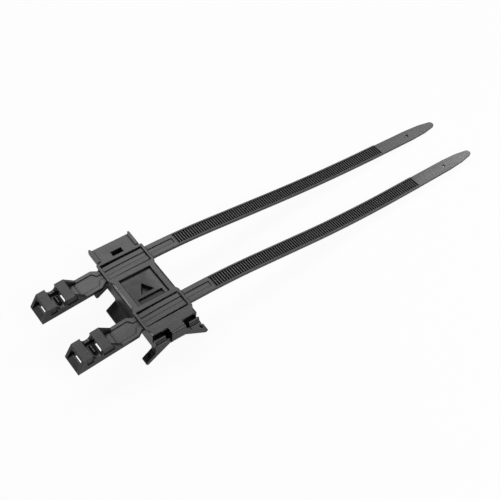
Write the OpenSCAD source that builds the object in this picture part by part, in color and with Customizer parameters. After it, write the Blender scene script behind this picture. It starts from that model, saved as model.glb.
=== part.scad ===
// Saddle mount for a cable bundle, with two one-piece cable ties threaded through it.
// Sizes are in millimetres. X runs along the ties towards their tips, Y along the mount
// towards its tongue, Z up. The feet and the tips of the straps stand at Z = 0, and the
// origin is under the middle of the plate, half way between the two ties.

/* [Mount] */
// Height from the feet to the top of the plate
mount_h = 16.4; // [15.4:0.2:18.6]
// Width of the top plate between the lanes
plate_w = 23; // [22:0.2:25]
// Thickness of the plate's rim
rim_t = 0.85; // [0.75:0.05:1]
// Width of the sloped band along the rim
rim_slope_w = 1; // [0.8:0.1:1.2]
// Height of that band
rim_slope_h = 0.55; // [0.45:0.05:0.65]
// Height of the groove under the rim between the lanes
rim_groove_h = 1.2; // [0.8:0.1:1.4]
// Depth of that groove
rim_groove_d = 1.1; // [0.6:0.1:1.3]
// How far the rim overhangs the side walls
rim_overhang = 0.1; // [0.05:0.05:0.3]
// Distance between the centre lines of the two ties
tie_spacing = 31; // [29:0.5:36]
// Height of the side walls under the plate
skirt_h = 9.2; // [8:0.2:9.6]
// Thickness of the hollow body's walls
wall_t = 1.8; // [1.4:0.1:2.2]
// Thickness of the end wall between the far lane and the tongue
end_wall_t = 1.25; // [1.1:0.05:1.7]

/* [Tie lanes] */
// Clearance on each side of a strap in its lane
lane_side_gap = 0.75; // [0.5:0.05:1]
// Clearance between a strap and the floor of its lane
lane_floor_gap = 0.05; // [0.02:0.01:0.2]
// Clearance between a strap and the bars over it
bar_gap = 0.1; // [0.06:0.02:0.2]
// Width of the bars that hold a strap down at both ends of a lane
bar_w = 1.2; // [0.9:0.1:1.5]
// Thickness of those bars
bar_t = 0.5; // [0.4:0.05:0.7]
// How far the plate widens at each lane
ear_reach = 0.6; // [0.4:0.1:0.8]
// Length over which it widens
ear_ramp = 3.2; // [2.6:0.1:3.4]
// Radius of the crowned lane floor
lane_crown_r = 90; // [70:5:105]

/* [Saddle] */
// Slope of the saddle's flanks from the level
flank_angle = 34.5; // [32:0.5:36]
// Radius of the saddle's crest
crest_r = 7; // [5:0.5:9]
// Distance of the foot tips from the middle
foot_x = 15.2; // [14.8:0.1:16.2]
// Rounding of the foot tips
foot_r = 1.1; // [0.8:0.1:1.3]
// Height of a leg's upper side at the side wall
leg_root_z = 5.6; // [5.2:0.1:6.2]
// Radius of the fillet between a leg and the side wall
leg_fillet_r = 0.7; // [0.5:0.1:1.2]
// How far the legs at the catch end reach past the shelf
catch_leg_reach = 2.4; // [2:0.1:2.8]
// Length of those legs along the mount
catch_leg_len = 3.6; // [3:0.1:4.2]
// Length of the middle legs along the mount
middle_leg_len = 13.6; // [12:0.2:14.4]
// Distance of the legs at the tongue end from the tongue
tongue_leg_gap = 0.4; // [0.2:0.1:0.9]
// Length of those legs along the mount
tongue_leg_len = 5; // [4:0.1:5.1]
// Diameter of the dimple on each leg at the catch end
dimple_d = 2.2; // [1.6:0.1:2.6]
// Depth of that dimple
dimple_depth = 0.6; // [0.3:0.1:0.8]

/* [Tongue] */
// Length of the tongue
tongue_len = 8.4; // [7.4:0.2:10]
// Width of the tongue over its rails
tongue_w = 21.8; // [20.2:0.2:22.4]
// Thickness of the tongue
tongue_t = 2.2; // [1.8:0.1:2.8]
// Width of the tongue's rails
rail_w = 1.7; // [1.2:0.1:2.2]
// Height of the rails over the plate
rail_h = 0.35; // [0.2:0.05:0.8]
// How far the rails reach past the tongue
rail_reach = 0.9; // [0.2:0.1:1.4]
// Length of the latch slot across the mount
latch_slot_l = 5.6; // [4:0.1:7]
// Width of the latch slot
latch_slot_w = 2.7; // [2:0.1:3.2]
// Distance of the latch slot's middle from the body
latch_slot_y = 1.8; // [1.7:0.1:3]
// Depth of the latch slot
latch_slot_depth = 4.2; // [3:0.1:5]
// Thickness of the box round the latch slot under the tongue
latch_wall_t = 1; // [0.8:0.1:1.3]

/* [Catch end] */
// Length of the plate's shelf behind the near lane
shelf_len = 5.15; // [4.8:0.05:5.5]
// Half width of the middle tab
tab_half_w = 3.6; // [3:0.1:4.2]
// Reach of the tab past the shelf
tab_reach = 3.7; // [3.3:0.1:4]
// Rounding of the tab's front edge
tab_r = 0.9; // [0.5:0.1:1.2]
// Height of the tab's front face
tab_h = 6; // [5.2:0.1:6.4]
// Gap between the tab and each catch block
catch_gap = 2.5; // [2:0.1:3]
// Wall in front of each gap
catch_wall_t = 0.8; // [0.6:0.1:1.2]
// Drop of the first ridge's crest below the plate
ridge_drop = 1.9; // [1.7:0.1:2.2]
// Further drop from the first ridge to the second
ridge_step = 1.8; // [1.5:0.1:2]
// Radius of the catch ridges
ridge_r = 0.6; // [0.45:0.05:0.7]
// Distance of the first ridge from the shelf
ridge_y = 1.7; // [1.5:0.1:1.9]
// Distance between the two ridges
ridge_pitch = 1.6; // [1.4:0.1:1.8]

/* [Panel] */
// Half width of the slanted panel between the lanes
panel_half_w = 8.2; // [7.2:0.1:9]
// Depth of the panel at its deep edge
panel_depth = 1.2; // [1.1:0.1:1.4]
// Depth of the panel at its other edge
panel_low = 1; // [0.7:0.1:1.1]
// Distance of the panel's deep edge from the far lane
panel_margin = 2.85; // [2.4:0.05:3.3]
// Length of the panel along the mount
panel_len = 16.8; // [15:0.2:17.4]
// Tip of the triangle
triangle_y = 2.2; // [1.6:0.1:2.8]
// Length of the triangle
triangle_len = 5.5; // [4.5:0.1:6]
// Half width of the triangle's base
triangle_half_w = 3.4; // [2.6:0.1:4]
// Depth of the triangle below the plate
triangle_depth = 3.2; // [2.4:0.1:3.6]
// Half width of the thumb scoop
scoop_half_w = 6.2; // [5.4:0.1:7]
// Length of the scoop along the mount
scoop_len = 3.7; // [3:0.1:4.2]
// Depth of the thumb scoop below the plate
scoop_depth = 2; // [1.7:0.1:2.4]

/* [Strap] */
// Width of a strap
strap_w = 7.6; // [7:0.1:8.2]
// Thickness of a strap
strap_t = 1.6; // [1.4:0.05:1.8]
// Pitch of the teeth
tooth_pitch = 1.375; // [1.325:0.025:1.425]
// Number of teeth
tooth_count = 97; // [94:1:100]
// Depth of the teeth
tooth_depth = 0.75; // [0.6:0.05:0.85]
// Drop of the tooth crests below the strap's rails
tooth_sink = 0.25; // [0.1:0.05:0.4]
// Width of the strap's rails beside the teeth
tooth_rail_w = 0.8; // [0.6:0.1:1.2]
// Half width of the groove along the smooth part of a strap
groove_half_w = 1.4; // [1:0.1:2]
// Depth of that groove
groove_depth = 0.35; // [0.2:0.05:0.5]
// Length of the smooth strap from the mount's middle to the first tooth
smooth_len = 26.85; // [25.85:0.1:28.85]
// Thickness of the tail
tail_t = 1.1; // [0.9:0.05:1.3]
// Length of the tail after the teeth
tail_len = 42.6; // [40.6:0.2:45]
// Length of the tail's narrowing tip
tail_tip_len = 8.6; // [7:0.2:10]
// Width of the tail where it starts to narrow to its tip
tail_tip_w = 6.1; // [5:0.1:6.8]
// Radius of the tail's rounded tip
tail_tip_r = 1.9; // [1.5:0.1:2.2]
// Diameter of the hole in the tail
tail_hole_d = 1.5; // [1:0.1:2]
// Distance of that hole from the teeth
tail_hole_s = 22.3; // [18.3:0.5:26.3]

/* [Rest shape] */
// Slope of the heads from the level
head_tilt = 4.8; // [4:0.1:6]
// Length of strap bent over each side of the mount's middle
saddle_bend = 11; // [10:0.5:12]
// Far strap: slope where it leaves the mount
far_exit_slope = -0.5; // [-1.5:0.1:-0.4]
// Far strap: steepest slope
far_fall_slope = -6.9; // [-7.4:0.1:-6.6]
// Far strap: slope of the tail
far_tail_slope = -2.2; // [-2.6:0.1:-1.6]
// Far strap: length of the bend from the mount to the steepest slope
far_fall_bend = 36; // [32:1:40]
// Far strap: length of the bend from the steepest slope to the tail
far_level_bend = 70; // [64:1:74]
// Far strap: turn in plan about the middle of its lane
far_turn = 0.4; // [-0.5:0.1:0.5]
// Far strap: share of its side clearance that it is moved towards the tongue
far_side = -0.13; // [-0.4:0.01:0.4]
// Near strap: slope where it leaves the mount
near_exit_slope = -0.4; // [-1.4:0.1:-0.3]
// Near strap: steepest slope
near_fall_slope = -7.9; // [-8.4:0.1:-7.5]
// Near strap: slope of the tail
near_tail_slope = -0.7; // [-1.2:0.1:-0.3]
// Near strap: length of the bend from the mount to the steepest slope
near_fall_bend = 42; // [38:1:46]
// Near strap: length of the bend from the steepest slope to the tail
near_level_bend = 64; // [58:1:68]
// Near strap: turn in plan about the middle of its lane
near_turn = 0.9; // [0:0.1:0.9]
// Near strap: share of its side clearance that it is moved towards the tongue
near_side = 0.35; // [-0.4:0.05:0.4]
// Near strap: height of its tip over the feet's level
near_tip_z = 1.6; // [0:0.1:2.4]

/* [Tie head] */
// Distance from the mount's middle back to the head's front edge
head_reach = 45.85; // [44.85:0.1:47.05]
// Width of the head
head_w = 11; // [10.4:0.1:11.6]
// Height of the head
head_h = 6.9; // [6.6:0.1:7.4]
// Height of the head's front edge
lip_h = 0.8; // [0.5:0.1:1.1]
// Length of the ramp from that edge up to the head's floor
lip_ramp = 3; // [2.4:0.1:3.4]
// Clearance on each side of the strap inside the head
passage_gap = 0.2; // [0.1:0.05:0.4]
// Thickness of the head's floor under the bridges
floor_t = 2.4; // [2.1:0.05:2.6]
// Thickness of the two bridges
bridge_t = 1; // [0.8:0.1:1.4]
// Front edge of the front bridge behind the head's front
front_bridge_u = 4.1; // [3.8:0.1:4.4]
// Length of the front bridge
front_bridge_len = 4.1; // [3.8:0.1:4.5]
// Front edge of the rear bridge behind the head's front
rear_bridge_u = 13.1; // [12.9:0.1:13.4]
// Length of the rear bridge
rear_bridge_len = 4.4; // [4.1:0.1:4.8]
// Front edge of the opening under the front bridge
front_opening_u = 3.5; // [3.2:0.1:3.8]
// Length of that opening
front_opening_len = 5.7; // [5.3:0.1:6.2]
// Front edge of the opening under the rear bridge
rear_opening_u = 13.1; // [12.8:0.1:13.4]
// Length of that opening
rear_opening_len = 5.6; // [5.2:0.1:6.2]
// Half width of those openings
opening_half_w = 3.3; // [2.8:0.1:3.5]
// Radius of the notch between the bridges
notch_r = 2.4; // [2.1:0.05:2.4]
// Depth of that notch
notch_depth = 3.3; // [2.9:0.1:3.7]
// Length of the slope behind the rear bridge
runout_len = 4.9; // [4:0.1:6]
// Middle of the pawl behind the head's front edge
pawl_u = 11; // [10.9:0.1:11.2]
// Height of the pawl's top over the head's underside
pawl_h = 3.6; // [3.3:0.1:3.9]
// Half length of the pawl across the head
pawl_half_w = 2.6; // [2.2:0.1:3]
// Half width of the pawl along the head
pawl_r = 0.7; // [0.5:0.05:0.8]
// Width of the groove round the pawl
pawl_moat = 0.35; // [0.25:0.05:0.4]
// Depth of that groove
moat_depth = 0.5; // [0.3:0.05:0.6]
// Width of the rails on the shoulder plate
shoulder_rail_w = 1.7; // [1.4:0.1:2]
// How far the shoulder plate stands proud of the strap all round
shoulder_step = 0.06; // [0.04:0.01:0.12]
// Where the shoulders start to narrow
shoulder_u = 30.6; // [30:0.1:31.2]
// Length over which they narrow
shoulder_len = 2.4; // [1.8:0.1:2.8]
// Depth of the pockets in the head's sides
side_pocket = 0.35; // [0.2:0.05:0.5]
// Height of those pockets' lower edge
side_pocket_z = 2.8; // [2.2:0.1:3.2]

/* [Look] */
// Red, green and blue of the mount
mount_colour = [0.10, 0.10, 0.11]; // [0:0.01:1]
// Red, green and blue of the ties
tie_colour = [0.12, 0.12, 0.13]; // [0:0.01:1]
// Smoothness of round surfaces
$fn = 96; // [48:8:128]

/* [Hidden] */
eps = 0.01;
cut = 0.5;
big = 60;
half_w = plate_w / 2;
ear_x = half_w + ear_reach;
wall_x = half_w - rim_overhang;
strap_half = strap_w / 2;
lane_w = strap_w + 2 * lane_side_gap;
lane_y = tie_spacing / 2;
lane_inner = lane_y - lane_w / 2;
lane_outer = lane_y + lane_w / 2;
tongue_root = lane_outer + end_wall_t;
shelf_end = -lane_outer - shelf_len;
tab_end = shelf_end - tab_reach;
catch_leg_y = shelf_end - catch_leg_reach;
middle_leg_y = -middle_leg_len / 2;
tongue_leg_y = tongue_root - tongue_leg_gap - tongue_leg_len;
strap_z = mount_h - bar_t - bar_gap - strap_t;
lane_floor = strap_z - lane_floor_gap;
lane_depth = 3;
body_z = mount_h - skirt_h;
crest_z = foot_x * tan(flank_angle) - crest_r * (1 / cos(flank_angle) - 1);
tangent_x = crest_r * sin(flank_angle);
tangent_z = crest_z - crest_r + crest_r * cos(flank_angle);
groove_reach = 22;
groove_below = 10;
groove_low = tangent_z - (groove_reach - tangent_x) * tan(flank_angle);
overlap = 1;
leg_top = body_z + 2;
foot_top = 1.6 * foot_r;
leg_tip_x = foot_x + 0.1 * foot_r;
leg_out_x = leg_tip_x + 0.8 * foot_r;
leg_slope = atan2(leg_root_z - foot_top, leg_out_x - wall_x);
fillet_steps = 6;
notch_steps = 12;
catch_x = tab_half_w + catch_gap;
catch_block_drop = 1.2;
catch_floor = mount_h - ridge_drop - ridge_step - catch_block_drop;
catch_root = catch_floor - overlap;
catch_cut_in = 2.6;
catch_roof = mount_h - 1.4;
catch_side_t = 0.8;
catch_gap_floor = crest_z + catch_wall_t;
pocket_roof = lane_floor - 2;
panel_deep = lane_inner - panel_margin;
panel_end = panel_deep - panel_len;
scoop_deep = panel_end + scoop_len;
triangle_base = triangle_y - triangle_len;
rail_start = tongue_root + 0.6;
rail_corner = 0.3;
dimple_x = foot_x - 1.5;
dimple_z = leg_root_z - (dimple_x - wall_x) * tan(leg_slope);
front_bridge_end = front_bridge_u + front_bridge_len;
rear_bridge_end = rear_bridge_u + rear_bridge_len;
notch_u = (front_bridge_end + rear_bridge_u) / 2;
notch_w = head_h - notch_depth + notch_r;
runout_u = rear_bridge_end + runout_len;
bridge_back = bridge_t * front_bridge_u / (head_h - lip_h);
groove_from = runout_u - shoulder_rail_w;
shoulder_t = strap_t + 2 * shoulder_step;
neck_half = strap_half + shoulder_step;
shoulder_end = shoulder_u + shoulder_len;
pocket_h = head_h - bridge_t;
back_steps = 14;
ahead_steps = 46;
groove_stop = 1;
lid_skip = 4;
tooth_rise = 0.06;
tooth_crest = 0.42;
tail_neck = tail_len - tail_tip_len;
tail_waist = 0.72 * tail_neck;
tail_taper = 0.2;
head_len = head_reach / cos(head_tilt) - saddle_bend;
tooth_end = smooth_len + tooth_pitch * tooth_count;
tip_s = tooth_end + tail_len;

// Runs along a bend of length l from slope a to slope b
function run_x(l, a, b) = a == b ? l * cos(a) : l * 180 / PI / (b - a) * (sin(b) - sin(a));
function run_z(l, a, b) = a == b ? l * sin(a) : l * 180 / PI / (b - a) * (cos(a) - cos(b));

// Point and slope at length s along a chain of bends [length, first slope, last slope]
function walk(chain, s, i = 0, x = 0, z = 0) =
    (s <= chain[i][0] || i == len(chain) - 1)
    ? let (l = chain[i][0], a = chain[i][1], b = chain[i][2], e = a + (b - a) * s / l)
      [x + run_x(s, a, e), z + run_z(s, a, e), e]
    : walk(chain, s - chain[i][0], i + 1,
           x + run_x(chain[i][0], chain[i][1], chain[i][2]),
           z + run_z(chain[i][0], chain[i][1], chain[i][2]));

// Same point lifted by h square to the strap
function lift(p, h) = [p[0] - h * sin(p[2]), p[1] + h * cos(p[2])];

// Drop that the slopes and bends of one tie make without its straight fall
function bend_drop(slopes, bends) =
    -run_z(saddle_bend, 0, slopes[0]) - run_z(bends[0], slopes[0], slopes[1])
    - run_z(bends[1], slopes[1], slopes[2]);
// Length of straight fall that brings the tip down to tip_z over the feet's level
function fall_len(slopes, bends, tip_z) =
    let (rest = tip_s - saddle_bend - bends[0] - bends[1])
    (strap_z - tip_z - bend_drop(slopes, bends) + rest * sin(slopes[2])) / (sin(slopes[2]) - sin(slopes[1]));
// Chain of bends of one tie from the mount's middle to its tip
function strap_chain(slopes, bends, tip_z) =
    let (fall = fall_len(slopes, bends, tip_z))
    [[saddle_bend, 0, slopes[0]],
     [bends[0], slopes[0], slopes[1]],
     [fall, slopes[1], slopes[1]],
     [bends[1], slopes[1], slopes[2]],
     [tip_s, slopes[2], slopes[2]]];
// Chain from the mount's middle back to the head, with X mirrored
head_chain = [[saddle_bend, 0, -head_tilt], [head_reach * 2, -head_tilt, -head_tilt]];

// Prism with its outline in Y and Z, from x0 to x1
module along_x(x0, x1) {
    translate([x0, 0, 0])
        rotate([90, 0, 90])
            linear_extrude(height = x1 - x0)
                children();
}

// Prism with its outline in X and Z, from y0 to y1
module along_y(y0, y1) {
    translate([0, y1, 0])
        rotate([90, 0, 0])
            linear_extrude(height = y1 - y0)
                children();
}

// Round bar along X
module bar_x(x0, x1, y, z, r) {
    translate([x0, y, z])
        rotate([0, 90, 0])
            cylinder(h = x1 - x0, r = r);
}

// Round bar along Y
module bar_y(y0, y1, x, z, r) {
    translate([x, y1, z])
        rotate([90, 0, 0])
            cylinder(h = y1 - y0, r = r);
}

module box(x0, x1, y0, y1, z0, z1) {
    translate([x0, y0, z0])
        cube([x1 - x0, y1 - y0, z1 - z0]);
}

module both_sides() {
    children();
    mirror([1, 0, 0])
        children();
}

// Widening of the plate at both ends of a lane
module lane_ears(y) {
    y0 = y - lane_w / 2 - lane_side_gap;
    y1 = y + lane_w / 2 + lane_side_gap;
    in_x = half_w - rim_slope_w;
    translate([0, 0, mount_h - rim_t])
        linear_extrude(height = rim_t)
            polygon([[in_x, y0 - ear_ramp], [ear_x, y0], [ear_x, y1], [in_x, y1 + ear_ramp],
                     [-in_x, y1 + ear_ramp], [-ear_x, y1], [-ear_x, y0], [-in_x, y0 - ear_ramp]]);
}

// Top plate with a sloped band along both sides, wider at the lanes
module plate() {
    band_x = half_w - rim_slope_w;
    band_z = mount_h - rim_slope_h;
    under_z = mount_h - rim_t;
    along_y(shelf_end, tongue_root)
        polygon([[band_x, mount_h], [half_w, band_z], [half_w, under_z], [-half_w, under_z],
                 [-half_w, band_z], [-band_x, mount_h]]);
    intersection() {
        union() {
            lane_ears(lane_y);
            lane_ears(-lane_y);
        }
        box(-big, big, shelf_end, tongue_root, 0, big);
    }
}

// One pair of legs that carry the saddle, filleted to the side walls
module leg_pair(y0, length) {
    centre_x = wall_x + leg_fillet_r;
    centre_z = leg_root_z + leg_fillet_r / cos(leg_slope) - leg_fillet_r * tan(leg_slope);
    fillet = [for (i = [fillet_steps : -1 : 0])
                  let (a = 180 + (90 - leg_slope) * i / fillet_steps)
                  [centre_x + leg_fillet_r * cos(a), centre_z + leg_fillet_r * sin(a)]];
    both_sides() {
        along_y(y0, y0 + length)
            polygon(concat([[0, leg_top], [0, 0], [leg_tip_x, 0], [leg_out_x, foot_top]], fillet, [[wall_x, leg_top]]));
        bar_y(y0, y0 + length, leg_tip_x, foot_r, foot_r);
    }
}

// Groove that seats the saddle on a tube along Y
module saddle_groove() {
    along_y(-big, big)
        polygon([[-groove_reach, groove_low], [-tangent_x, tangent_z], [tangent_x, tangent_z],
                 [groove_reach, groove_low], [groove_reach, groove_low - groove_below],
                 [-groove_reach, groove_low - groove_below]]);
    bar_y(-big, big, 0, crest_z - crest_r, crest_r);
}

// Lane for one strap: a slot under the bars and a window between them
module lane(y) {
    intersection() {
        box(-big, big, y - lane_w / 2, y + lane_w / 2, lane_floor - lane_depth, mount_h - bar_t);
        difference() {
            box(-big, big, y - lane_w, y + lane_w, lane_floor - lane_depth, mount_h);
            bar_y(y - lane_w - cut, y + lane_w + cut, 0, lane_floor - lane_crown_r, lane_crown_r);
        }
    }
    box(-ear_x + bar_w, ear_x - bar_w, y - lane_w / 2, y + lane_w / 2, mount_h - bar_t - eps, mount_h + cut);
}

module panel_cuts() {
    along_x(-panel_half_w, panel_half_w)
        polygon([[panel_deep, mount_h - panel_depth], [panel_deep, mount_h + cut],
                 [panel_end, mount_h + cut], [panel_end, mount_h - panel_low]]);
    along_x(-scoop_half_w, scoop_half_w)
        polygon([[scoop_deep, mount_h - scoop_depth], [scoop_deep, mount_h + cut],
                 [panel_end, mount_h + cut], [panel_end, mount_h - panel_low]]);
    translate([0, 0, mount_h - triangle_depth])
        linear_extrude(height = triangle_depth + cut)
            polygon([[0, triangle_y], [triangle_half_w, triangle_base], [-triangle_half_w, triangle_base]]);
}

// Tongue with two rails and the latch slot in its box
module tongue() {
    y1 = tongue_root + tongue_len;
    rail_out = tongue_w / 2;
    rail_end = y1 + rail_reach;
    slot_mid = tongue_root + latch_slot_y;
    box_half_l = latch_slot_l / 2 + latch_wall_t;
    box_half_w = latch_slot_w / 2 + latch_wall_t;
    slot_floor = mount_h - latch_slot_depth;
    difference() {
        union() {
            box(-tongue_w / 2, tongue_w / 2, tongue_root - overlap, y1, mount_h - tongue_t, mount_h);
            box(-box_half_l, box_half_l, tongue_root - overlap, slot_mid + box_half_w,
                slot_floor - latch_wall_t, mount_h - eps);
            both_sides() {
                translate([0, 0, mount_h - tongue_t + rail_h])
                    linear_extrude(height = tongue_t)
                        polygon([[rail_out - rail_w, rail_start], [rail_out, rail_start],
                                 [rail_out, rail_end - rail_corner], [rail_out - rail_corner, rail_end],
                                 [rail_out - rail_w / 2, rail_end], [rail_out - rail_w, y1 - overlap]]);
            }
        }
        box(-latch_slot_l / 2, latch_slot_l / 2, slot_mid - latch_slot_w / 2, slot_mid + latch_slot_w / 2,
            slot_floor, mount_h + cut);
    }
}

// Middle tab and the two ridged catch blocks
module catch_end() {
    first_y = shelf_end - ridge_y;
    second_y = first_y - ridge_pitch;
    first_z = mount_h - ridge_drop - ridge_r;
    second_z = first_z - ridge_step;
    along_x(-tab_half_w, tab_half_w)
        polygon([[shelf_end + overlap, body_z], [shelf_end + overlap, mount_h], [tab_end + tab_r, mount_h],
                 [tab_end, mount_h - tab_r], [tab_end, mount_h - tab_h], [catch_leg_y, body_z]]);
    bar_x(-tab_half_w, tab_half_w, tab_end + tab_r, mount_h - tab_r, tab_r);
    both_sides() {
        along_x(catch_x, wall_x)
            polygon([[first_y + ridge_r, catch_root], [first_y + ridge_r, first_z],
                     [first_y - ridge_r, first_z - ridge_r], [second_y, second_z], [second_y - ridge_r, second_z],
                     [second_y - ridge_r, second_z - ridge_r], [catch_leg_y, catch_floor],
                     [catch_leg_y, catch_root]]);
        bar_x(catch_x, wall_x, first_y, first_z, ridge_r);
        bar_x(catch_x, wall_x, second_y, second_z, ridge_r);
    }
}

module saddle_mount() {
    catch_leg_end = catch_leg_y + catch_leg_len;
    middle_leg_end = middle_leg_y + middle_leg_len;
    color(mount_colour)
        difference() {
            union() {
                plate();
                box(-wall_x, wall_x, shelf_end, tongue_root, body_z, mount_h - (rim_slope_h + rim_t) / 2);
                box(-wall_x, wall_x, catch_leg_y, shelf_end + overlap, body_z, catch_floor);
                leg_pair(catch_leg_y, catch_leg_len);
                leg_pair(middle_leg_y, middle_leg_len);
                leg_pair(tongue_leg_y, tongue_leg_len);
                tongue();
                catch_end();
            }
            saddle_groove();
            lane(lane_y);
            lane(-lane_y);
            panel_cuts();
            box(-wall_x + wall_t, wall_x - wall_t, catch_leg_end + wall_t, middle_leg_y - wall_t,
                body_z - cut, pocket_roof);
            box(-wall_x + wall_t, wall_x - wall_t, middle_leg_end + wall_t, tongue_leg_y - wall_t,
                body_z - cut, pocket_roof);
            both_sides() {
                box(wall_x - rim_groove_d, half_w + cut, -lane_y, lane_y, mount_h - rim_t - rim_groove_h,
                    mount_h - rim_t - eps);
                box(catch_x, wall_x - catch_side_t, shelf_end - overlap, shelf_end + catch_cut_in,
                    catch_floor, catch_roof);
                box(tab_half_w, catch_x + eps, catch_leg_y + catch_wall_t, shelf_end + catch_cut_in,
                    catch_gap_floor, catch_roof);
                translate([dimple_x, catch_leg_y + catch_leg_len / 2, dimple_z])
                    rotate([0, leg_slope, 0])
                        translate([0, 0, -dimple_depth])
                            cylinder(h = dimple_depth + cut, d = dimple_d);
            }
        }
}

// Side outline of a strap from length s0 on its head side to s1 on its tail side, from height h0 to h1
module strap_outline(chain, s0, s1, h0, h1) {
    back = [for (i = [back_steps : -1 : 1])
                let (p = walk(head_chain, s0 * i / back_steps))
                [-p[0], p[1], -p[2]]];
    ahead = [for (i = [0 : ahead_steps]) walk(chain, s1 * i / ahead_steps)];
    line = concat(back, ahead);
    last = len(line) - 1;
    low = [for (p = line) lift(p, h0)];
    high = [for (i = [last : -1 : 0]) lift(line[i], h1)];
    polygon(concat(low, high));
}

// Outline of what is cut away between the teeth
module tooth_outline(chain) {
    root = strap_t - tooth_depth;
    crest = strap_t - tooth_sink;
    first = [for (k = [0, tooth_crest]) lift(walk(chain, smooth_len + k * tooth_pitch), crest)];
    saw = [for (i = [1 : tooth_count - 1])
               for (k = [[0, root], [tooth_rise, crest], [tooth_crest, crest]])
                   lift(walk(chain, smooth_len + (i + k[0]) * tooth_pitch), k[1])];
    lid = [for (i = [tooth_count : -lid_skip : 0])
               lift(walk(chain, smooth_len + i * tooth_pitch), strap_t + cut)];
    shut = [lift(walk(chain, tooth_end), root)];
    start = [lift(walk(chain, smooth_len), strap_t + cut)];
    polygon(concat(first, saw, shut, lid, start));
}

// Tail with its hole, drawn flat from the end of the teeth
module tail() {
    tip = tail_len - tail_tip_r;
    half = strap_half - eps;
    waist = strap_half - tail_taper;
    neck = tail_tip_w / 2;
    difference() {
        union() {
            linear_extrude(height = tail_t)
                polygon([[-overlap, half], [tail_waist, waist], [tail_neck, neck], [tip, tail_tip_r],
                         [tip, -tail_tip_r], [tail_neck, -neck], [tail_waist, -waist], [-overlap, -half]]);
            translate([tip, 0, 0])
                cylinder(h = tail_t, r = tail_tip_r);
        }
        translate([tail_hole_s, 0, -cut])
            cylinder(h = tail_t + 2 * cut, d = tail_hole_d);
    }
}

// Side wall outline of the head
module head_side() {
    notch = [for (i = [0 : notch_steps])
                 let (a = 180 + 180 * i / notch_steps)
                 [notch_u + notch_r * cos(a), notch_w + notch_r * sin(a)]];
    polygon(concat([[0, 0], [0, lip_h], [front_bridge_u, head_h], [notch_u - notch_r, head_h]], notch,
                   [[notch_u + notch_r, head_h], [rear_bridge_end, head_h], [runout_u, shoulder_t], [runout_u, 0]]));
}

// Side outline of the head's floor, ramped at both ends
module head_floor() {
    polygon([[0, 0], [0, lip_h], [lip_ramp, floor_t], [rear_bridge_end, floor_t], [groove_from, shoulder_t],
             [runout_u, shoulder_t], [runout_u, 0]]);
}

// Plan of the shoulder plate from u0 on, narrowing to the strap
module shoulder_plan(u0) {
    half = head_w / 2;
    polygon([[u0, half], [u0, -half], [shoulder_u, -half], [shoulder_end, -neck_half],
             [shoulder_end, neck_half], [shoulder_u, half]]);
}

// Pawl or the groove round it: a bar across the head with round ends, from w0 to w1
module pawl_bar(r, w0, w1) {
    box(pawl_u - r, pawl_u + r, -pawl_half_w + pawl_r, pawl_half_w - pawl_r, w0, w1);
    for (y = [-pawl_half_w + pawl_r, pawl_half_w - pawl_r])
        translate([pawl_u, y, w0])
            cylinder(h = w1 - w0, r = r);
}

// Head, drawn level with its front edge at the origin and its floor on Z = 0
module tie_head() {
    half = head_w / 2;
    passage = strap_half + passage_gap;
    rail_in = half - shoulder_rail_w;
    groove_turn = shoulder_u - 0.2 * shoulder_len;
    groove_neck = shoulder_u + 0.5 * shoulder_len;
    groove_end = shoulder_end + overlap;
    difference() {
        union() {
            along_y(-passage - overlap, passage + overlap)
                head_floor();
            linear_extrude(height = shoulder_t)
                shoulder_plan(groove_from);
            along_y(passage, half)
                head_side();
            along_y(-half, -passage)
                head_side();
            along_y(-half, half)
                polygon([[front_bridge_u - bridge_back, head_h - bridge_t], [front_bridge_u, head_h],
                         [front_bridge_end, head_h], [front_bridge_end, head_h - bridge_t]]);
            box(rear_bridge_u, rear_bridge_end, -half, half, head_h - bridge_t, head_h);
        }
        box(front_opening_u, front_opening_u + front_opening_len, -opening_half_w, opening_half_w,
            -cut, floor_t + cut);
        box(rear_opening_u, rear_opening_u + rear_opening_len, -opening_half_w, opening_half_w,
            -cut, floor_t + cut);
        pawl_bar(pawl_r + pawl_moat, floor_t - moat_depth, floor_t + cut);
        for (y = [half - side_pocket, -half - cut]) {
            box(front_bridge_u + overlap, front_bridge_end, y, y + side_pocket + cut, side_pocket_z, pocket_h);
            box(rear_bridge_u, rear_bridge_end + overlap, y, y + side_pocket + cut, side_pocket_z, pocket_h);
        }
        translate([0, 0, shoulder_t - groove_depth])
            linear_extrude(height = groove_depth + cut)
                polygon([[groove_from, rail_in], [groove_from, -rail_in], [groove_turn, -rail_in],
                         [groove_neck, -groove_half_w], [groove_end, -groove_half_w],
                         [groove_end, groove_half_w], [groove_neck, groove_half_w], [groove_turn, rail_in]]);
    }
    pawl_bar(pawl_r, floor_t - moat_depth - eps, pawl_h - pawl_r);
    bar_y(-pawl_half_w + pawl_r, pawl_half_w - pawl_r, pawl_u, pawl_h - pawl_r, pawl_r);
}

// One tie: head, strap through the mount, toothed strap and tail in one moulding
module cable_tie(slopes, bends, tip_z) {
    chain = strap_chain(slopes, bends, tip_z);
    last = walk(chain, tooth_end);
    front = walk(head_chain, head_len + saddle_bend);
    back_s = saddle_bend + head_len - shoulder_end + overlap;
    difference() {
        along_y(-strap_half, strap_half)
            strap_outline(chain, back_s, tooth_end, 0, strap_t);
        along_y(-strap_half + tooth_rail_w, strap_half - tooth_rail_w)
            tooth_outline(chain);
        along_y(-groove_half_w, groove_half_w)
            strap_outline(chain, back_s + 2 * overlap, smooth_len - groove_stop, strap_t - groove_depth, strap_t + cut);
    }
    translate([last[0], 0, last[1]])
        rotate([0, -last[2], 0])
            tail();
    translate([-front[0], 0, front[1]])
        rotate([0, -head_tilt, 0])
            translate([0, 0, -shoulder_step])
                tie_head();
}

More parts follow.
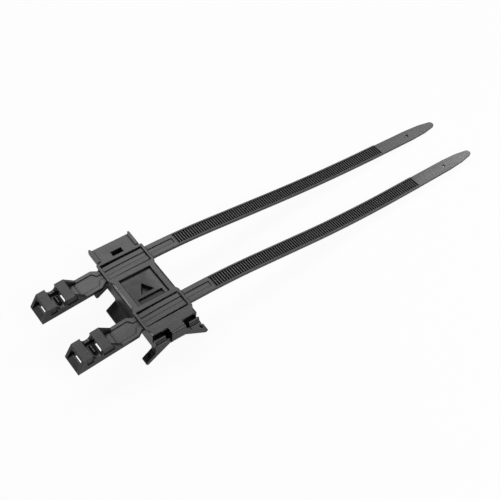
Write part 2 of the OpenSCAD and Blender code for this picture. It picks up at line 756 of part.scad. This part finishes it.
module cable_tie_far() {
    color(tie_colour)
        translate([0, lane_y + far_side * lane_side_gap, strap_z])
            rotate([0, 0, far_turn])
                cable_tie([far_exit_slope, far_fall_slope, far_tail_slope], [far_fall_bend, far_level_bend], 0);
}

module cable_tie_near() {
    color(tie_colour)
        translate([0, -lane_y + near_side * lane_side_gap, strap_z])
            rotate([0, 0, near_turn])
                cable_tie([near_exit_slope, near_fall_slope, near_tail_slope], [near_fall_bend, near_level_bend],
                          near_tip_z);
}

saddle_mount();
cable_tie_far();
cable_tie_near();
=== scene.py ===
"""Saddle mount with two cable ties, lying on a pale floor under soft studio light.

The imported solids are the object; this script gives them their moulded finish, the floor,
the softboxes and the camera. Lengths are in metres unless a name ends in _mm.
"""
import math

import bpy
from mathutils import Matrix, Vector

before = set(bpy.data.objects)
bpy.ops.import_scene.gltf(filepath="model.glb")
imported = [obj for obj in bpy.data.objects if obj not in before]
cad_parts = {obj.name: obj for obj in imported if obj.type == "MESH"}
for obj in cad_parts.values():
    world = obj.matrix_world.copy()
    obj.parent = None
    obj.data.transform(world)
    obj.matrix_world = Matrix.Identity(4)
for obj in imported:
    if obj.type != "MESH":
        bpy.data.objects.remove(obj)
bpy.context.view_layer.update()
scene = bpy.context.scene
MM = 0.001

# Sockets of a Mix node, which share their names
FACTOR = 0
VECTOR_A, VECTOR_B, VECTOR_OUT = 4, 5, 1
COLOUR_A, COLOUR_B, COLOUR_OUT = 6, 7, 2

# Black polyamide: width of its flow marks, and the part of their range that changes the gloss
POLYAMIDE_IOR = 1.53
FLOW_MM = 4.0
FLOW_RANGE = (0.3, 0.7)
# How open a place is, from deep nook to open face, and the reflection there; nooks get less reflection as
# painted shade
NOOK_TO_OPEN = (0.62, 1.0)
REFLECTION_UNDER_PAINTED_SHADE = (0.04, 0.5)
# How open a place is, from sharp inner corner to rounded free edge
SHARP_TO_ROUND = (0.7, 0.95)

# Fields of the mould: lowest and highest corner in mm, change of roughness, share that fades out
COARSE_PANEL = ((-14, -9.5, 12.5), (6.5, 8.7, 16.1), 0.17, 0.45)
COARSE_HEADS = ((-60, -60, -40), (-23.5, 60, 60), 0.09, 0.26)
POLISHED_SHOULDERS = ((-25, -60, -40), (-11.6, 60, 60), -0.06, 0.3)
POLISHED_MOUTHS = ((-60, -60, -40), (-42.2, 60, 13.9), -0.115, 0.03)

# White board: its tone, and the share of plain white that is seen directly and in mirror images
BOARD_TONE = (0.72, 0.76)
FIBRE_MM = 2.0
SEEN_WHITE = 0.93
MIRRORED_WHITE = 0.25
FLOOR_HALF = 1.5
FLOOR_DROP_MM = 0.05

# Room: its even light, and how bright its walls are in mirror images
ROOM_LIGHT = 0.12
ROOM_MIRRORED = 0.28

# Softboxes: place and aim in mm, width and height in mm, radiance
SOFTBOXES = {
    # Mirrored by the flat tops of the plate, the tongue and the straps
    "over_the_back": ((265, 467, 565), (265, 0, 10), 690, 370, 2.85),
    # Mirrored by the tails, more and more towards their tips
    "right_of_the_tips": ((640, 265, 460), (190, 0, 0), 300, 300, 2.0),
    "near_tip": ((650, 205, 430), (215, -13, 2), 120, 120, 7.0),
    # Mirrored by the sloped band along the rim
    "left_of_the_rim": ((-325, 303, 442), (-10, 0, 15), 150, 170, 11.0),
    # Mirrored by slopes and edges that face the front
    "above_the_front": ((145, -350, 490), (0, 0, 10), 300, 400, 4.4),
    "right_of_the_front": ((450, -435, 250), (120, 0, 5), 450, 250, 3.6),
}

# Camera of a square picture
PICTURE_PX = 500.0
FOCAL_PX = 871.9
SENSOR_MM = 36.0
EYE_MM = (-118.23, -204.72, 331.36)
AZIMUTH = math.radians(41.159)
ELEVATION = math.radians(50.616)
ROLL = math.radians(-6.0)
NEAREST_SEEN = 0.01
FARTHEST_SEEN = 10.0


def linear(hex_colour):
    """sRGB hex value as a linear colour."""
    parts = [int(hex_colour[i:i + 2], 16) / 255 for i in (1, 3, 5)]
    return [c / 12.92 if c <= 0.04045 else ((c + 0.055) / 1.055) ** 2.4 for c in parts] + [1.0]


def add(tree, kind, inputs=(), **settings):
    """One node with its settings; inputs maps a socket to a value or to another node's output."""
    node = tree.nodes.new(kind)
    for name, value in settings.items():
        setattr(node, name, value)
    for name, value in dict(inputs).items():
        if isinstance(value, bpy.types.NodeSocket):
            tree.links.new(value, node.inputs[name])
        else:
            node.inputs[name].default_value = value
    return node


def new_material(name):
    """Empty material and its node tree."""
    made = bpy.data.materials.new(name)
    made.use_nodes = True
    made.node_tree.nodes.clear()
    return made, made.node_tree


def per_mm(size_mm):
    """Texture scale at which one cell of the pattern measures size_mm."""
    return 1.0 / (size_mm * MM)


def inside(tree, place, low_mm, high_mm, soft):
    """1 inside the box between two corners, 0 outside it; soft is the share of its half size that fades."""
    middle = [(a + b) / 2 * MM for a, b in zip(low_mm, high_mm)]
    half_size = [(b - a) / 2 * MM for a, b in zip(low_mm, high_mm)]
    local = add(tree, "ShaderNodeMapping", {"Vector": place, "Location": middle, "Scale": half_size},
                vector_type="TEXTURE")
    away = add(tree, "ShaderNodeVectorMath", {0: local.outputs["Vector"]}, operation="ABSOLUTE")
    parts = add(tree, "ShaderNodeSeparateXYZ", {0: away.outputs[0]})
    flat = add(tree, "ShaderNodeMath", {0: parts.outputs[0], 1: parts.outputs[1]}, operation="MAXIMUM")
    most = add(tree, "ShaderNodeMath", {0: flat.outputs[0], 1: parts.outputs[2]}, operation="MAXIMUM")
    fade = add(tree, "ShaderNodeMapRange", {
        "Value": most.outputs[0], "From Min": 1.0 - soft, "From Max": 1.0, "To Min": 1.0, "To Max": 0.0})
    return fade.outputs["Result"]


def seen_directly(tree, ray):
    """1 for what the camera sees, also through something clear."""
    seen = add(tree, "ShaderNodeMath", {
        0: ray.outputs["Is Camera Ray"], 1: ray.outputs["Is Transmission Ray"]}, operation="MAXIMUM")
    return seen.outputs[0]


def moulded_polyamide(name, dark, light, rough_low, rough_high, grain_mm, grain_height_mm, stretch,
                      edge_mm, nook_mm, fields):
    """Black polyamide from a spark-eroded steel mould: satin, neutral grey where it mirrors a light,
    near black where it mirrors itself, with a fine even grain, faint cloudy flow marks and slightly
    rounded edges."""
    made, tree = new_material(name)
    place = add(tree, "ShaderNodeTexCoord").outputs["Object"]
    along = add(tree, "ShaderNodeMapping", {"Vector": place, "Scale": stretch}).outputs["Vector"]
    # Flow marks are a few millimetres wide and follow the way the plastic filled the mould
    flow = add(tree, "ShaderNodeTexNoise", {
        "Vector": along, "Scale": per_mm(FLOW_MM), "Detail": 4.0, "Roughness": 0.6})
    # The real grain is near 0.1 mm; it is drawn coarser so that it shows at all
    grain = add(tree, "ShaderNodeTexNoise", {
        "Vector": place, "Scale": per_mm(grain_mm), "Detail": 3.0, "Roughness": 0.65})
    tint = add(tree, "ShaderNodeMix", {
        FACTOR: flow.outputs["Fac"], COLOUR_A: linear(dark), COLOUR_B: linear(light)}, data_type="RGBA")
    sheen = add(tree, "ShaderNodeMapRange", {
        "Value": flow.outputs["Fac"], "From Min": FLOW_RANGE[0], "From Max": FLOW_RANGE[1],
        "To Min": rough_low, "To Max": rough_high})
    # Some fields of the mould were eroded more coarsely or polished
    rough = sheen.outputs["Result"]
    for low_mm, high_mm, change, soft in fields:
        field = inside(tree, place, low_mm, high_mm, soft)
        mended = add(tree, "ShaderNodeMath", {0: field, 1: change, 2: rough}, operation="MULTIPLY_ADD")
        rough = mended.outputs[0]
    # Painted shade: inner corners and recesses get less reflection the more they are enclosed, so they look
    # darker as shade would make them
    nook = add(tree, "ShaderNodeAmbientOcclusion", {"Distance": nook_mm * MM}, samples=8)
    painted_shade_reflection = add(tree, "ShaderNodeMapRange", {
        "Value": nook.outputs["AO"], "From Min": NOOK_TO_OPEN[0], "From Max": NOOK_TO_OPEN[1],
        "To Min": REFLECTION_UNDER_PAINTED_SHADE[0], "To Max": REFLECTION_UNDER_PAINTED_SHADE[1]})
    # Edges that stand free are slightly rounded and catch the light; inner corners stay sharp
    free = add(tree, "ShaderNodeMapRange", {
        "Value": nook.outputs["AO"], "From Min": SHARP_TO_ROUND[0], "From Max": SHARP_TO_ROUND[1]})
    round_edge = add(tree, "ShaderNodeBevel", {"Radius": edge_mm * MM}, samples=6)
    face = add(tree, "ShaderNodeNewGeometry")
    edge = add(tree, "ShaderNodeMix", {
        FACTOR: free.outputs["Result"], VECTOR_A: face.outputs["Normal"],
        VECTOR_B: round_edge.outputs["Normal"]}, data_type="VECTOR")
    bump = add(tree, "ShaderNodeBump", {
        "Height": grain.outputs["Fac"], "Distance": grain_height_mm * MM, "Strength": 1.0,
        "Normal": edge.outputs[VECTOR_OUT]})
    # The specular level carries the painted shade of inner corners
    body = add(tree, "ShaderNodeBsdfPrincipled", {
        "Base Color": tint.outputs[COLOUR_OUT], "Roughness": rough, "IOR": POLYAMIDE_IOR,
        "Specular IOR Level": painted_shade_reflection.outputs["Result"], "Normal": bump.outputs["Normal"]})
    add(tree, "ShaderNodeOutputMaterial", {"Surface": body.outputs["BSDF"]})
    return made


def pale_floor():
    """Matt white board: almost plain white to the camera, with a faint shadow; a quarter plain white in
    mirror images, and otherwise lit like any board."""
    made, tree = new_material("matt white board")
    ray = add(tree, "ShaderNodeLightPath")
    plain = add(tree, "ShaderNodeMath", {0: seen_directly(tree, ray), 1: SEEN_WHITE}, operation="MULTIPLY")
    mirrored = add(tree, "ShaderNodeMath", {
        0: ray.outputs["Is Glossy Ray"], 1: MIRRORED_WHITE}, operation="MULTIPLY")
    share = add(tree, "ShaderNodeMath", {0: plain.outputs[0], 1: mirrored.outputs[0]}, operation="MAXIMUM")
    place = add(tree, "ShaderNodeTexCoord").outputs["Object"]
    fibre = add(tree, "ShaderNodeTexNoise", {"Vector": place, "Scale": per_mm(FIBRE_MM), "Detail": 2.0})
    tone = add(tree, "ShaderNodeMapRange", {
        "Value": fibre.outputs["Fac"], "To Min": BOARD_TONE[0], "To Max": BOARD_TONE[1]})
    board = add(tree, "ShaderNodeBsdfDiffuse", {"Color": tone.outputs["Result"]})
    white = add(tree, "ShaderNodeEmission", {"Color": linear("#ffffff"), "Strength": 1.0})
    mix = add(tree, "ShaderNodeMixShader", {
        0: share.outputs[0], 1: board.outputs["BSDF"], 2: white.outputs["Emission"]})
    add(tree, "ShaderNodeOutputMaterial", {"Surface": mix.outputs["Shader"]})
    return made


def bright_room():
    """Plain white where the camera looks past the floor, and a low even light on the object."""
    room = bpy.data.worlds.new("bright room")
    room.use_nodes = True
    tree = room.node_tree
    tree.nodes.clear()
    ray = add(tree, "ShaderNodeLightPath")
    mirrored = add(tree, "ShaderNodeMapRange", {
        "Value": ray.outputs["Is Glossy Ray"], "To Min": ROOM_LIGHT, "To Max": ROOM_MIRRORED})
    level = add(tree, "ShaderNodeMath", {
        0: seen_directly(tree, ray), 1: mirrored.outputs["Result"]}, operation="MAXIMUM")
    sky = add(tree, "ShaderNodeBackground", {"Color": linear("#ffffff"), "Strength": level.outputs[0]})
    add(tree, "ShaderNodeOutputWorld", {"Surface": sky.outputs["Background"]})
    return room


def softbox(name, place_mm, aim_mm, width_mm, height_mm, radiance):
    """Rectangular soft light whose face has the given radiance."""
    lamp = bpy.data.lights.new(name, "AREA")
    lamp.shape = "RECTANGLE"
    lamp.size = width_mm * MM
    lamp.size_y = height_mm * MM
    lamp.energy = radiance * math.pi * lamp.size * lamp.size_y
    item = bpy.data.objects.new(name, lamp)
    scene.collection.objects.link(item)
    item.location = Vector(place_mm) * MM
    item.rotation_mode = "QUATERNION"
    item.rotation_quaternion = (Vector(aim_mm) - Vector(place_mm)).to_track_quat("-Z", "Y")


# Finishes
mount_finish = moulded_polyamide(
    "moulded black polyamide mount", dark="#0f0f0f", light="#191919", rough_low=0.25, rough_high=0.35,
    grain_mm=0.9, grain_height_mm=0.05, stretch=(1.0, 1.0, 1.0), edge_mm=0.4, nook_mm=0.9,
    fields=[COARSE_PANEL])
# The flow marks of the ties run along their straps
tie_finish = moulded_polyamide(
    "moulded black polyamide ties", dark="#0f0f0f", light="#181818", rough_low=0.23, rough_high=0.33,
    grain_mm=0.8, grain_height_mm=0.025, stretch=(0.15, 1.0, 1.0), edge_mm=0.35, nook_mm=1.0,
    fields=[COARSE_HEADS, POLISHED_SHOULDERS, POLISHED_MOUTHS])
finishes = {"saddle_mount": mount_finish, "cable_tie_far": tie_finish, "cable_tie_near": tie_finish}
for node_name, finish in finishes.items():
    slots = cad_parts[node_name].data.materials
    slots.clear()
    slots.append(finish)

# Floor, just under the feet
corners = [(-FLOOR_HALF, -FLOOR_HALF, 0), (FLOOR_HALF, -FLOOR_HALF, 0),
           (FLOOR_HALF, FLOOR_HALF, 0), (-FLOOR_HALF, FLOOR_HALF, 0)]
floor_mesh = bpy.data.meshes.new("floor")
floor_mesh.from_pydata(corners, [], [(0, 1, 2, 3)])
floor = bpy.data.objects.new("floor", floor_mesh)
scene.collection.objects.link(floor)
floor.location.z = -FLOOR_DROP_MM * MM
floor_mesh.materials.append(pale_floor())

# Light
scene.world = bright_room()
for box_name, box in SOFTBOXES.items():
    softbox(box_name, *box)

# Camera
ahead = Vector((math.sin(AZIMUTH) * math.cos(ELEVATION),
                math.cos(AZIMUTH) * math.cos(ELEVATION),
                -math.sin(ELEVATION)))
sideways = Vector((math.cos(AZIMUTH), -math.sin(AZIMUTH), 0.0))
below = ahead.cross(sideways)
right = sideways * math.cos(ROLL) + below * math.sin(ROLL)
down = below * math.cos(ROLL) - sideways * math.sin(ROLL)
lens = bpy.data.cameras.new("photo view")
lens.sensor_width = SENSOR_MM
lens.lens = FOCAL_PX / PICTURE_PX * SENSOR_MM
lens.clip_start = NEAREST_SEEN
lens.clip_end = FARTHEST_SEEN
camera = bpy.data.objects.new("photo view", lens)
scene.collection.objects.link(camera)
turn = Matrix((right, -down, -ahead)).transposed().to_4x4()
camera.matrix_world = Matrix.Translation(Vector(EYE_MM) * MM) @ turn
scene.camera = camera

scene.view_settings.view_transform = "Standard"
